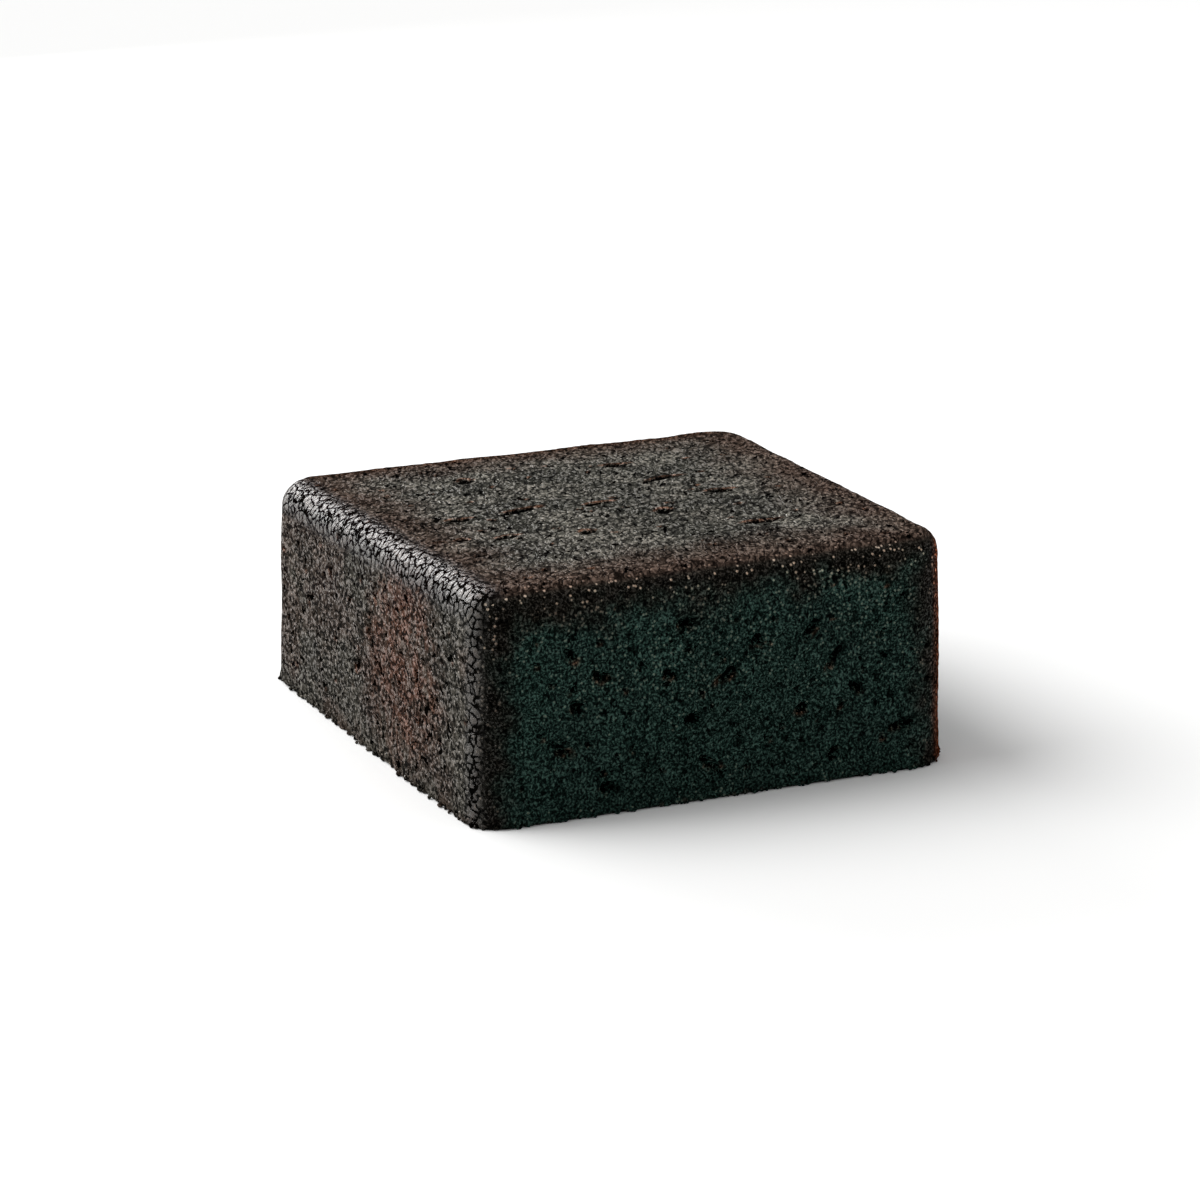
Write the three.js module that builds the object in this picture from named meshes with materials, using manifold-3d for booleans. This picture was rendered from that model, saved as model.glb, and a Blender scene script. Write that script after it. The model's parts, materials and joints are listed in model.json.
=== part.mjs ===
// Square mud cake, turned out of its tin: one dense solid block with a flat top, rounded
// edges and corners, sides that splay a little towards the base, and a dark crust pitted
// with oval pores. Millimetres, +Z up, the origin in the middle of the base it rests on.
// The front face looks towards -Y, the left face towards -X.
import * as THREE from 'three';
import { mergeVertices } from 'three/addons/utils/BufferGeometryUtils.js';
import Module from 'manifold-3d';

// ---- Driving dimensions ----
const WIDTH = 148; // X, across the front at the base: a six-inch tin, a little shrunk
const DEPTH = 166; // Y, along the left side at the base
const HEIGHT = 66;
const SPLAY = Math.tan(THREE.MathUtils.degToRad(1.2)); // how far each side leans in, per mm of height
const TOP_EDGE_RADIUS = 6.5;
const CORNER_RADIUS = { frontLeft: 9.5, frontRight: 13, backLeft: 13, backRight: 14 };
const BACK_RIGHT_SKEW = new THREE.Vector2(9, -9); // the fourth corner stands off the square
const BACK_LEFT_SINK = 3.8; // the top sinks towards this corner
const FRONT_RIGHT_LIFT = 1.2; // and rises a little towards this one

const BASE_UNDERCUT = 1.4; // the bottom edge draws in, over this height and depth
const BASE_RAGGED = 0.7; // crumbs torn along the bottom edge
const SWELL = { height: 0.55, length: 30 }; // slow unevenness of the crust
const CRUMB = { height: 0.5, length: 7 }; // pebbled relief of the crust

const CELLS = { x: 30, y: 33 };
const WALL_ROWS = 10; // rows of cells between the base's chamfer and the top edge
const PORE_SEGMENTS = { round: 6, deep: 4 };

// ---- Pores ----
// Oval openings in the crust. On the top: x, y. On the front: x, z. On the left: y, z.
// Then length, width and depth, and the turn of the long axis in degrees.
const TOP_PORES = [
  [25, 41, 9, 4, 2.2, 10],
  [29, 18, 13, 4, 2.4, 12],
  [38, -5, 9, 4.5, 2.4, 5],
  [-1, -2, 10, 4, 2.2, 15],
  [12, -20, 7, 5, 2.6, 80],
  [-25, 1, 15, 4, 2.6, 20],
  [-44, 0, 8, 4, 2, 10],
  [-18, -32, 6, 5, 2.4, 70],
  [-40, -25, 9, 4, 2, 5],
  [-52, -22, 5, 4, 2, 0],
  [31, -44, 12, 4, 2.4, 8],
  [-24, 44, 7, 5, 2.2, 60],
];
const FRONT_PORES = [
  [-11, 52, 8, 4, 2.6, 5],
  [28, 46, 9, 3.6, 2.6, 35],
  [11, 44, 5, 4.5, 2.6, 0],
  [36, 37, 12, 3, 2.6, 48],
  [2, 36, 10, 3.4, 2.6, 35],
  [42, 27, 7, 3.4, 2.6, -35],
  [-9, 24, 6.5, 4.5, 3, -20],
  [25, 23, 5, 4, 2.4, 60],
  [57, 14, 13, 3, 2.4, 14],
  [-4, 11, 10, 3, 2.4, -40],
  [35, 8, 5, 4.5, 2.6, 30],
  [-46, 47, 7, 3, 2.4, -55],
  [-37, 40, 5.5, 4, 2.4, 0],
  [-44, 32, 5.5, 5, 2.6, 0],
  [-16, 38, 5, 4, 2.4, -50],
  [-49, 21, 9, 3.4, 2.4, -38],
  [-35, 8, 6, 5, 2.8, -20],
];
const LEFT_PORES = [
  [29, 47, 5, 4, 2.2, 90],
  [-7, 49, 9, 3, 2.4, 85],
  [-2, 37, 7, 4, 2.4, 90],
  [7, 24, 5, 5, 2.4, 0],
  [-39, 32, 6, 3.6, 2.2, 90],
  [-50, 28, 6, 3.4, 2.2, 80],
];
// The right and back faces carry the same kind of pores, strewn evenly over a grid.
const STREWN = { columns: 3, rows: 3, seed: 7, length: [5, 10], width: [3, 4.6], depth: 2.4 };
const STREWN_MARGIN = 22; // bare band at the face's ends
const STREWN_HEIGHTS = [12, 54]; // lowest and highest
const STREWN_TURNS = [-50, 50]; // of the long axis, in degrees
const STREWN_SCATTER = 0.6; // share of its grid cell that a pore's middle may fall in

const MERGE_DISTANCE = 1e-4; // points closer than this are one

// ---- Noise ----
function hash(i, j, k) {
  let h = Math.imul(i, 374761393) ^ Math.imul(j, 668265263) ^ Math.imul(k, 1274126177);
  h = Math.imul(h ^ (h >>> 13), 1103515245);
  return ((h ^ (h >>> 16)) >>> 0) / 4294967295;
}

// Smooth noise from -1 to 1
function noise(point, length) {
  const p = point.clone().divideScalar(length);
  const cell = p.clone().floor();
  const f = p.sub(cell);
  const ease = (t) => t * t * (3 - 2 * t);
  const at = (i, j, k) => hash(cell.x + i, cell.y + j, cell.z + k) * 2 - 1;
  const { lerp } = THREE.MathUtils;
  const layer = (k) => {
    const near = lerp(at(0, 0, k), at(1, 0, k), ease(f.x));
    const far = lerp(at(0, 1, k), at(1, 1, k), ease(f.x));
    return lerp(near, far, ease(f.y));
  };
  return lerp(layer(0), layer(1), ease(f.z));
}

// ---- The block's skin ----
// Takes a point on a plain box of WIDTH x DEPTH x HEIGHT to its place on the cake.
const cornerRadius = (x, y) => {
  const side = x < 0 ? 'Left' : 'Right';
  return CORNER_RADIUS[(y < 0 ? 'front' : 'back') + side];
};

// How far a point of the box is pulled in from the upright wall, and its height there
function edgeRounding(rim, z) {
  const quarter = Math.PI / 4;
  const r = TOP_EDGE_RADIUS;
  if (z < HEIGHT - r) return { inset: z === 0 ? BASE_UNDERCUT : 0, z };
  if (z === HEIGHT && rim >= r) return { inset: rim, z };
  const onTop = z === HEIGHT ? rim / r : 0;
  const onWall = (HEIGHT - z) / r;
  const angle = quarter * (1 + onTop - onWall);
  return { inset: r * (1 - Math.cos(angle)), z: HEIGHT - r + r * Math.sin(angle) };
}

function skin(point) {
  const ax = Math.abs(point.x);
  const ay = Math.abs(point.y);
  const rim = Math.min(WIDTH / 2 - ax, DEPTH / 2 - ay);
  const rounded = edgeRounding(rim, point.z);
  const r = cornerRadius(point.x, point.y);
  const corner = new THREE.Vector2(WIDTH / 2 - r, DEPTH / 2 - r);
  const out = new THREE.Vector2(ax - corner.x, ay - corner.y);
  const plan = new THREE.Vector2(ax, ay);
  if (out.x > 0 && out.y > 0) {
    plan.copy(corner).add(out.setLength(Math.max(r - rounded.inset, 0)));
  } else if (WIDTH / 2 - ax <= DEPTH / 2 - ay) {
    plan.x = WIDTH / 2 - rounded.inset;
  } else {
    plan.y = DEPTH / 2 - rounded.inset;
  }
  const lean = SPLAY * rounded.z;
  const x = Math.sign(point.x) * plan.x * (1 - lean / (WIDTH / 2));
  const y = Math.sign(point.y) * plan.y * (1 - lean / (DEPTH / 2));
  const u = x / WIDTH + 0.5;
  const v = y / DEPTH + 0.5;
  const rise = rounded.z / HEIGHT;
  return new THREE.Vector3(
    x + BACK_RIGHT_SKEW.x * u * v,
    y + BACK_RIGHT_SKEW.y * u * v,
    rounded.z + (FRONT_RIGHT_LIFT * u * (1 - v) - BACK_LEFT_SINK * (1 - u) * v) * rise,
  );
}

// Heights of the rows of points on the walls
function wallHeights() {
  const shoulder = HEIGHT - TOP_EDGE_RADIUS;
  const rows = [0, BASE_UNDERCUT];
  for (let i = 1; i <= WALL_ROWS; i += 1) {
    rows.push(THREE.MathUtils.lerp(BASE_UNDERCUT, shoulder, i / WALL_ROWS));
  }
  rows.push((shoulder + HEIGHT) / 2, HEIGHT);
  return rows;
}

const bare = (geometry) => {
  geometry.deleteAttribute('normal');
  geometry.deleteAttribute('uv');
  return mergeVertices(geometry, MERGE_DISTANCE);
};

// The flat base: the bottom ring of the walls, in order round the block, filled in
function baseFaces(isBase, position, walls) {
  const next = new Map();
  for (let t = 0; t < walls.length; t += 3) {
    for (let e = 0; e < 3; e += 1) {
      const from = walls[t + e];
      const to = walls[t + ((e + 1) % 3)];
      if (isBase[from] && isBase[to]) next.set(to, from);
    }
  }
  const ring = [next.keys().next().value];
  while (next.get(ring.at(-1)) !== ring[0]) ring.push(next.get(ring.at(-1)));
  const outline = ring.map((i) => new THREE.Vector2(position.getX(i), position.getY(i)));
  const facingDown = ([a, b, c]) => [ring[c], ring[b], ring[a]];
  return THREE.ShapeUtils.triangulateShape(outline, []).flatMap(facingDown);
}

function block() {
  const heights = wallHeights();
  const rows = heights.length - 1;
  const geometry = bare(new THREE.BoxGeometry(WIDTH, DEPTH, HEIGHT, CELLS.x, CELLS.y, rows));
  const position = geometry.getAttribute('position');
  const isBase = [];
  for (let i = 0; i < position.count; i += 1) {
    const row = Math.round((position.getZ(i) / HEIGHT + 0.5) * rows);
    isBase.push(row === 0);
    const point = new THREE.Vector3(position.getX(i), position.getY(i), heights[row]);
    const placed = skin(point);
    position.setXYZ(i, placed.x, placed.y, placed.z);
  }
  const index = Array.from(geometry.index.array);
  const walls = [];
  for (let t = 0; t < index.length; t += 3) {
    const face = index.slice(t, t + 3);
    if (!face.every((i) => isBase[i])) walls.push(...face);
  }
  geometry.setIndex(walls);
  geometry.computeVertexNormals();
  roughen(position, geometry.getAttribute('normal'), isBase);
  geometry.setIndex([...walls, ...baseFaces(isBase, position, walls)]);
  geometry.deleteAttribute('normal');
  return usedVertices(geometry);
}

// Pushes the crust in and out along its normals; the base ring stays level
function roughen(position, normal, isBase) {
  for (let i = 0; i < position.count; i += 1) {
    const point = new THREE.Vector3().fromBufferAttribute(position, i);
    const out = new THREE.Vector3().fromBufferAttribute(normal, i);
    let push = SWELL.height * noise(point, SWELL.length) + CRUMB.height * noise(point, CRUMB.length);
    if (isBase[i]) {
      out.setZ(0).normalize();
      push += BASE_RAGGED * noise(point, CRUMB.length / 2);
    }
    point.addScaledVector(out, push);
    position.setXYZ(i, point.x, point.y, isBase[i] ? 0 : point.z);
  }
}

// Drops the points that no face uses any more
function usedVertices(geometry) {
  return mergeVertices(geometry.toNonIndexed(), MERGE_DISTANCE);
}

// ---- Pore cuts ----
// An ellipsoid centred on the crust: its long axis lies in the face, turned from `along`.
function poreCutter(centre, along, outward, [length, width, depth, turn]) {
  const geometry = bare(new THREE.SphereGeometry(1, PORE_SEGMENTS.round, PORE_SEGMENTS.deep));
  const across = new THREE.Vector3().crossVectors(outward, along);
  const axes = new THREE.Matrix4().makeBasis(along, across, outward);
  const spin = new THREE.Matrix4().makeRotationZ(THREE.MathUtils.degToRad(turn));
  const size = new THREE.Matrix4().makeScale(length / 2, width / 2, depth);
  geometry.applyMatrix4(axes.multiply(spin).multiply(size));
  return geometry.translate(centre.x, centre.y, centre.z);
}

const X = new THREE.Vector3(1, 0, 0);
const Y = new THREE.Vector3(0, 1, 0);
const Z = new THREE.Vector3(0, 0, 1);
const LEFTWARDS = X.clone().negate();
const FORWARDS = Y.clone().negate();
const FACES = {
  top: { place: (a, b) => skin(new THREE.Vector3(a, b, HEIGHT)), along: X, outward: Z },
  front: { place: (a, b) => skin(new THREE.Vector3(a, -DEPTH / 2, b)), along: X, outward: FORWARDS },
  left: { place: (a, b) => skin(new THREE.Vector3(-WIDTH / 2, a, b)), along: FORWARDS, outward: LEFTWARDS },
  right: { place: (a, b) => skin(new THREE.Vector3(WIDTH / 2, a, b)), along: Y, outward: X },
  back: { place: (a, b) => skin(new THREE.Vector3(a, DEPTH / 2, b)), along: LEFTWARDS, outward: Y },
};

function pores(face, list) {
  const { place, along, outward } = FACES[face];
  return list.map(([a, b, ...shape]) => poreCutter(place(a, b), along, outward, shape));
}

// One pore in each cell of a grid over a face, each at its own spot, size and turn
function strewn(face, span, seed) {
  const draw = (i, j, k) => hash(i + seed, j, k);
  const { lerp } = THREE.MathUtils;
  const inCell = (share) => 0.5 + STREWN_SCATTER * (share - 0.5);
  const reach = span / 2 - STREWN_MARGIN;
  const list = [];
  for (let i = 0; i < STREWN.columns; i += 1) {
    for (let j = 0; j < STREWN.rows; j += 1) {
      const a = (i + inCell(draw(i, j, 1))) / STREWN.columns;
      const b = (j + inCell(draw(i, j, 2))) / STREWN.rows;
      const length = lerp(...STREWN.length, draw(i, j, 3));
      const width = lerp(...STREWN.width, draw(i, j, 4));
      const turn = lerp(...STREWN_TURNS, draw(i, j, 5));
      list.push([lerp(-reach, reach, a), lerp(...STREWN_HEIGHTS, b), length, width, STREWN.depth, turn]);
    }
  }
  return pores(face, list);
}

// ---- Cutting ----
const wasm = await Module();
wasm.setup();

const toSolid = (geometry) => new wasm.Manifold(new wasm.Mesh({
  numProp: 3,
  vertProperties: new Float32Array(geometry.getAttribute('position').array),
  triVerts: new Uint32Array(geometry.index.array),
}));

function toGeometry(solid) {
  const mesh = solid.getMesh();
  const geometry = new THREE.BufferGeometry();
  geometry.setAttribute('position', new THREE.BufferAttribute(mesh.vertProperties, 3));
  geometry.setIndex(new THREE.BufferAttribute(mesh.triVerts, 1));
  return geometry;
}

// Stands the finished cake with the middle of its base on the origin
function centred(geometry) {
  geometry.computeBoundingBox();
  const middle = geometry.boundingBox.getCenter(new THREE.Vector3());
  geometry.translate(-middle.x, -middle.y, -geometry.boundingBox.min.z);
  geometry.computeVertexNormals();
  return geometry;
}

const cutters = [
  ...pores('top', TOP_PORES),
  ...pores('front', FRONT_PORES),
  ...pores('left', LEFT_PORES),
  ...strewn('right', DEPTH, STREWN.seed),
  ...strewn('back', WIDTH, 2 * STREWN.seed),
];
const pitted = cutters.reduce((solid, cutter) => solid.subtract(toSolid(cutter)), toSolid(block()));

const chocolateCrust = new THREE.MeshStandardMaterial({ color: '#2b201c', roughness: 0.55, metalness: 0 });

const cake = new THREE.Mesh(centred(toGeometry(pitted)), chocolateCrust);
cake.name = 'cake';

const mudCake = new THREE.Group();
mudCake.add(cake);

export default mudCake;
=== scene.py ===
import json
import math
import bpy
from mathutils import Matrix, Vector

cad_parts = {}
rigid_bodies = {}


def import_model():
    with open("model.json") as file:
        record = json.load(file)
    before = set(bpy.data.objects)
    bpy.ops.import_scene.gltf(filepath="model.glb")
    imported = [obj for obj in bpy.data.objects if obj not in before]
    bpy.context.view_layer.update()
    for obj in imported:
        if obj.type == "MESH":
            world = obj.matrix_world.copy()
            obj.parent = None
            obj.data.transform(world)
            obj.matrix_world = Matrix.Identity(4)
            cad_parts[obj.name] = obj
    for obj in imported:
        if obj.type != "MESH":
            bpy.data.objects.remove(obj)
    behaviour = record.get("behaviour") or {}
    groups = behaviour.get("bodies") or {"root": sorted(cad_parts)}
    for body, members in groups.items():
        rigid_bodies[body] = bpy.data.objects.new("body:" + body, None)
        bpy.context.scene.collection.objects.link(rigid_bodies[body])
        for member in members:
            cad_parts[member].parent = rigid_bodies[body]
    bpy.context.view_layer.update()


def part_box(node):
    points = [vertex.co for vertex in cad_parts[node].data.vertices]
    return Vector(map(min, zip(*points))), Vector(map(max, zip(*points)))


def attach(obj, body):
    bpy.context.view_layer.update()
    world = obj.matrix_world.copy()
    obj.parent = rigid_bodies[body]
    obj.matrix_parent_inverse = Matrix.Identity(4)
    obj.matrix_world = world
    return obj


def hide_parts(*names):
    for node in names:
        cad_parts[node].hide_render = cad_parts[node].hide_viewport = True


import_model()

from types import SimpleNamespace

import bpy
import numpy as np
from bpy.props import FloatProperty, FloatVectorProperty, IntProperty, PointerProperty
from mathutils import Euler, Vector

bl_info = {
    "name": "Mud cake",
    "version": (1, 0, 0),
    "blender": (4, 5, 0),
    "location": "View3D > Sidebar > Mud cake",
    "description": "Models a whole square chocolate mud cake with a dark pitted crust",
    "category": "Add Mesh",
}

SOLID_LOW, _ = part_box("cake")
MM = 0.001


# ---------------------------------------------------------------- settings

def length(name, description, default):
    """A length that the panel shows in the scene's unit."""
    return FloatProperty(name=name, description=description, default=default, unit="LENGTH", precision=5)


def colour(name, description, default):
    return FloatVectorProperty(
        name=name, description=description, default=default, subtype="COLOR", size=3, min=0.0, max=1.0
    )


class MudCakeShape(bpy.types.PropertyGroup):
    """Sizes of the block, in metres"""

    width: length("Width", "Across the front, at the base", 148 * MM)
    depth: length("Depth", "Along the left side, at the base", 166 * MM)
    height: length("Height", "Base to flat top", 66.4 * MM)
    splay: FloatProperty(
        name="Splay", description="How far the sides lean in", default=math.radians(1.2), subtype="ANGLE"
    )
    edge_radius: length("Top edge radius", "Rounding where the sides meet the top", 6.5 * MM)
    front_left: length("Front left radius", "Rounding of that upright corner", 9.5 * MM)
    front_right: length("Front right radius", "Rounding of that upright corner", 13 * MM)
    back_left: length("Back left radius", "Rounding of that upright corner", 13 * MM)
    back_right: length("Back right radius", "Rounding of that upright corner", 14 * MM)
    skew_x: length("Skew X", "How far the back right corner stands out", 9 * MM)
    skew_y: length("Skew Y", "How far the back right corner draws in", -9 * MM)
    sink: length("Sink", "How far the top drops at the back left corner", 3.8 * MM)
    lift: length("Lift", "How far the top rises at the front right corner", 1.9 * MM)
    undercut: length("Undercut", "Rounding of the bottom edge", 0.8 * MM)
    frayed: length("Frayed base", "How far crumbs stand out along the bottom edge", 0.45 * MM)
    grain: length("Grain", "Spacing of the crust's points", 0.86 * MM)


class MudCakeCrust(bpy.types.PropertyGroup):
    """Colours and relief of the baked crust"""

    # Painted shade: the front and the right side get a darker, greener copy of the side crust's colour, for
    # the shade they lie in
    shade: colour("Front", "Crust on the front and the right side", (0.0112, 0.0262, 0.0212))
    # Painted shade: a darker copy of the top edges' brown, for the edge bands of the front and the right
    # side; it also greys the painted glints there
    shade_edge: colour("Front edges", "Crust along the edges of those faces", (0.0135, 0.0085, 0.0062))
    # Painted light: the lit copy of the crust's colour, for the left side and the back
    lit: colour("Side", "Crust on the left side and the back", (0.0275, 0.0202, 0.0155))
    moss: colour("Cool patches", "Greenish grey patches on the side and the top", (0.0265, 0.0268, 0.0220))
    # Partly the crust's own colour, partly painted sheen: the top is lighter and greyer than the side crust
    # for the sheen and light it catches
    slate_sheen: colour("Top", "Middle of the flat top", (0.066, 0.063, 0.053))
    brown: colour("Edges", "Crust along the edges of the top", (0.047, 0.029, 0.0215))
    rust: colour("Rust", "Reddish crumb in a patch on the left side", (0.042, 0.0185, 0.0112))
    # Painted highlight: a reddish colour laid only on the lit half of each pore's rim, and used along the
    # back edge too
    lip_highlight: colour("Lips", "Reddish crumb at the pores and the back edge", (0.046, 0.020, 0.0108))
    # Painted glow: red-brown light shining through the crust at the front right corner, where it turns away
    rim: colour("Rim", "Red-brown crust that turns away at the right", (0.110, 0.024, 0.007))
    swell: length("Swell", "Slow unevenness", 1.0 * MM)
    lump: length("Lumps", "Height of the crust's lumps", 0.45 * MM)
    pebble: length("Pebbles", "Relief of the fine pebbles", 0.75 * MM)
    strand_turn: FloatProperty(
        name="Strands", description="Which way the top's strands run, turned from +Y",
        default=math.radians(-25), subtype="ANGLE",
    )
    strand_length: FloatProperty(name="Strand length", description="Over their width", default=2.6, min=1)
    crumbs: IntProperty(name="Crumbs", description="Loose crumbs along the base", default=260, min=0)
    crumb: length("Crumb", "Largest crumb, across", 1.9 * MM)


class MudCakeStage(bpy.types.PropertyGroup):
    """Camera, floor and light"""

    lens: FloatProperty(name="Lens", description="Focal length in mm", default=109.4)
    camera: FloatVectorProperty(
        name="Camera", description="Place, from the middle of the block's base",
        default=(-0.4345, -0.9437, 0.3289), subtype="TRANSLATION", size=3,
    )
    heading: FloatProperty(
        name="Heading", description="Turn from +Y to -X", default=math.radians(-24.76), subtype="ANGLE"
    )
    pitch: FloatProperty(
        name="Pitch", description="Down from the horizon", default=math.radians(15.74), subtype="ANGLE"
    )
    floor: colour("Floor", "Pale matte floor", (0.90, 0.90, 0.895))
    room: FloatProperty(name="Room light", description="Strength of the light all round", default=0.5, min=0)
    sun: FloatProperty(name="Main light", description="Strength of the broad main light", default=2.6, min=0)
    rim: FloatProperty(name="Back light", description="Power in watts", default=12, min=0)
    side: FloatProperty(name="Side light", description="Power in watts", default=2.5, min=0)


class MudCakeSettings(bpy.types.PropertyGroup):
    """Everything that the mud cake is made from"""

    shape: PointerProperty(type=MudCakeShape)
    crust: PointerProperty(type=MudCakeCrust)
    stage: PointerProperty(type=MudCakeStage)
    seed: IntProperty(name="Seed", description="Start of the random draws", default=11)


def settings():
    return bpy.context.scene.mud_cake


def block_middle():
    """Middle of the untouched block, which the skewed corner puts beside the frame's origin."""
    shape = settings().shape
    return Vector((SOLID_LOW[0] + shape.width / 2, SOLID_LOW[1] + shape.depth / 2, 0))


# ---------------------------------------------------------------- modelling helpers

def deselect():
    for thing in bpy.context.view_layer.objects.selected:
        thing.select_set(False)


def make_active(piece):
    deselect()
    piece.select_set(True)
    bpy.context.view_layer.objects.active = piece


def apply_modifier(piece, kind, **values):
    make_active(piece)
    modifier = piece.modifiers.new(kind.title(), kind)
    for name, value in values.items():
        setattr(modifier, name, value)
    bpy.ops.object.modifier_apply(modifier=modifier.name)


def select_in_edit(piece, part, test):
    """Selects the vertices, edges or faces that pass the test, and enters edit mode."""
    make_active(piece)
    bpy.ops.object.mode_set(mode="EDIT")
    bpy.ops.mesh.select_mode(type=part)
    bpy.ops.mesh.select_all(action="DESELECT")
    bpy.ops.object.mode_set(mode="OBJECT")
    mesh = piece.data
    members = {"VERT": mesh.vertices, "EDGE": mesh.edges, "FACE": mesh.polygons}[part]
    for member in members:
        member.select = test(member)
    bpy.ops.object.mode_set(mode="EDIT")


def leave_edit():
    bpy.ops.object.mode_set(mode="OBJECT")


def points_of(mesh):
    flat = np.empty(len(mesh.vertices) * 3, np.float32)
    mesh.vertices.foreach_get("co", flat)
    return flat.reshape(-1, 3).astype(float)


def normals_of(mesh):
    flat = np.empty(len(mesh.vertices) * 3, np.float32)
    mesh.vertex_normals.foreach_get("vector", flat)
    return flat.reshape(-1, 3).astype(float)


def place_points(mesh, points):
    mesh.vertices.foreach_set("co", points.astype(np.float32).ravel())
    mesh.update()


def smooth_step(values, low, high):
    t = np.clip((values - low) / (high - low), 0, 1)
    return t * t * (3 - 2 * t)


def store(mesh, name, values):
    """Keeps one number for each point, for the material to read."""
    layer = mesh.attributes.new(name, "FLOAT", "POINT")
    layer.data.foreach_set("value", values.astype(np.float32))


# ---------------------------------------------------------------- the block

CORNER_SEGMENTS = 10
TOP_RIM_SEGMENTS = 8
BASE_RIM_SEGMENTS = 3
LEVEL = 0.9  # upright part of a normal, past which a face counts as level


def add_block():
    """A box that splays towards its base, with each edge rounded by its own radius."""
    shape = settings().shape
    middle = block_middle()
    deselect()
    bpy.ops.mesh.primitive_cube_add(size=1, location=(middle.x, middle.y, shape.height / 2))
    piece = bpy.context.active_object
    piece.name = "cake_crust"
    piece.scale = (shape.width, shape.depth, shape.height)
    bpy.ops.object.transform_apply(location=True, rotation=True, scale=True)

    lean = 2 * shape.height * math.tan(shape.splay)
    select_in_edit(piece, "VERT", lambda v: v.co.z > shape.height / 2)
    bpy.ops.transform.resize(
        value=(1 - lean / shape.width, 1 - lean / shape.depth, 1), center_override=middle
    )
    leave_edit()
    round_corners(piece, middle)
    round_rims(piece)
    return piece


def round_corners(piece, middle):
    shape = settings().shape
    radii = {
        (-1, -1): shape.front_left, (1, -1): shape.front_right,
        (-1, 1): shape.back_left, (1, 1): shape.back_right,
    }
    for (side_x, side_y), radius in radii.items():
        corner = middle + Vector((side_x * shape.width / 2, side_y * shape.depth / 2, 0))

        def at_corner(edge):
            low, high = sorted((piece.data.vertices[i].co for i in edge.vertices), key=lambda co: co.z)
            return high.z - low.z > shape.height / 2 and (low.xy - corner.xy).length < radius / 2

        select_in_edit(piece, "EDGE", at_corner)
        bpy.ops.mesh.bevel(offset=radius, offset_type="OFFSET", segments=CORNER_SEGMENTS, affect="EDGES")
        leave_edit()


def round_rims(piece):
    """Rounds the edges of the top, and lightly those of the underside."""
    shape = settings().shape
    rims = ((1, shape.edge_radius, TOP_RIM_SEGMENTS), (-1, shape.undercut, BASE_RIM_SEGMENTS))
    for up, radius, segments in rims:
        level = [set(p.edge_keys) for p in piece.data.polygons if p.normal.z * up > LEVEL]
        select_in_edit(piece, "EDGE", lambda edge: any(edge.key in keys for keys in level))
        bpy.ops.mesh.bevel(offset=radius, offset_type="OFFSET", segments=segments, affect="EDGES")
        leave_edit()


def lean_corners(piece):
    """Moves the back right corner, sinks the top's back left one and lifts its front right one."""
    shape = settings().shape
    middle = np.array(block_middle())
    points = points_of(piece.data) - middle
    u = points[:, 0] / shape.width + 0.5
    v = points[:, 1] / shape.depth + 0.5
    rise = points[:, 2] / shape.height
    points[:, 0] += shape.skew_x * u * v
    points[:, 1] += shape.skew_y * u * v
    points[:, 2] -= (shape.sink * (1 - u) * v - shape.lift * u * (1 - v)) * rise
    place_points(piece.data, points + middle)


# ---------------------------------------------------------------- relief

SWELL_SIZE = 22 * MM
LUMP_SIZE = 3.2 * MM
LUMP_LEVEL = -0.2  # texture value that leaves the surface in its place
SMOOTHING = {"factor": 0.5, "iterations": 3}

# Oval pores of each face: across, up, length, width, depth in mm, and turn in degrees.
# On the top the first two are x and y, on the front x and z, on the left y and z.
PORES = {
    "top": (
        (25, 41, 9, 4, 2.2, 10), (29, 18, 13, 4, 2.4, 12), (38, -5, 9, 4.5, 2.4, 5),
        (-1, -2, 10, 4, 2.2, 15), (12, -20, 7, 5, 2.6, 80), (-25, 1, 15, 4, 2.6, 20),
        (-44, 0, 8, 4, 2, 10), (-18, -32, 6, 5, 2.4, 70), (-40, -25, 9, 4, 2, 5),
        (-52, -22, 5, 4, 2, 0), (31, -44, 12, 4, 2.4, 8), (-24, 44, 7, 5, 2.2, 60),
    ),
    "front": (
        (-11, 52, 8, 4, 2.6, 5), (28, 46, 9, 3.6, 2.6, 35), (11, 44, 5, 4.5, 2.6, 0),
        (36, 37, 12, 3, 2.6, 48), (2, 36, 10, 3.4, 2.6, 35), (42, 27, 7, 3.4, 2.6, -35),
        (-9, 24, 6.5, 4.5, 3, -20), (25, 23, 5, 4, 2.4, 60), (57, 14, 13, 3, 2.4, 14),
        (-4, 11, 10, 3, 2.4, -40), (35, 8, 5, 4.5, 2.6, 30), (-46, 47, 7, 3, 2.4, -55),
        (-37, 40, 5.5, 4, 2.4, 0), (-44, 32, 5.5, 5, 2.6, 0), (-16, 38, 5, 4, 2.4, -50),
        (-49, 21, 9, 3.4, 2.4, -38), (-35, 8, 6, 5, 2.8, -20),
    ),
    "left": (
        (29, 47, 5, 4, 2.2, 90), (-7, 49, 9, 3, 2.4, 85), (-2, 37, 7, 4, 2.4, 90),
        (7, 24, 5, 5, 2.4, 0), (-39, 32, 6, 3.6, 2.2, 90), (-50, 28, 6, 3.4, 2.2, 80),
    ),
}
PORE_BEND = 0.12  # how far a pore's long line bends, as a share of its width
PORE_WAVES = 5  # radians of that bend along a pore

# Small pores strewn over each face: how many, and from least to most in mm and degrees
STREWN_PORES = {"top": 70, "front": 60, "left": 34, "right": 60, "back": 60}
STREWN_LENGTH = (1.8, 4.2)
STREWN_WIDTH = (1.3, 2.1)
STREWN_DEPTH = 1.2
STREWN_TURN = (-70, 70)
PORE_MARGIN = 7  # mm from a face's ends that stays free of small pores

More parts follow.
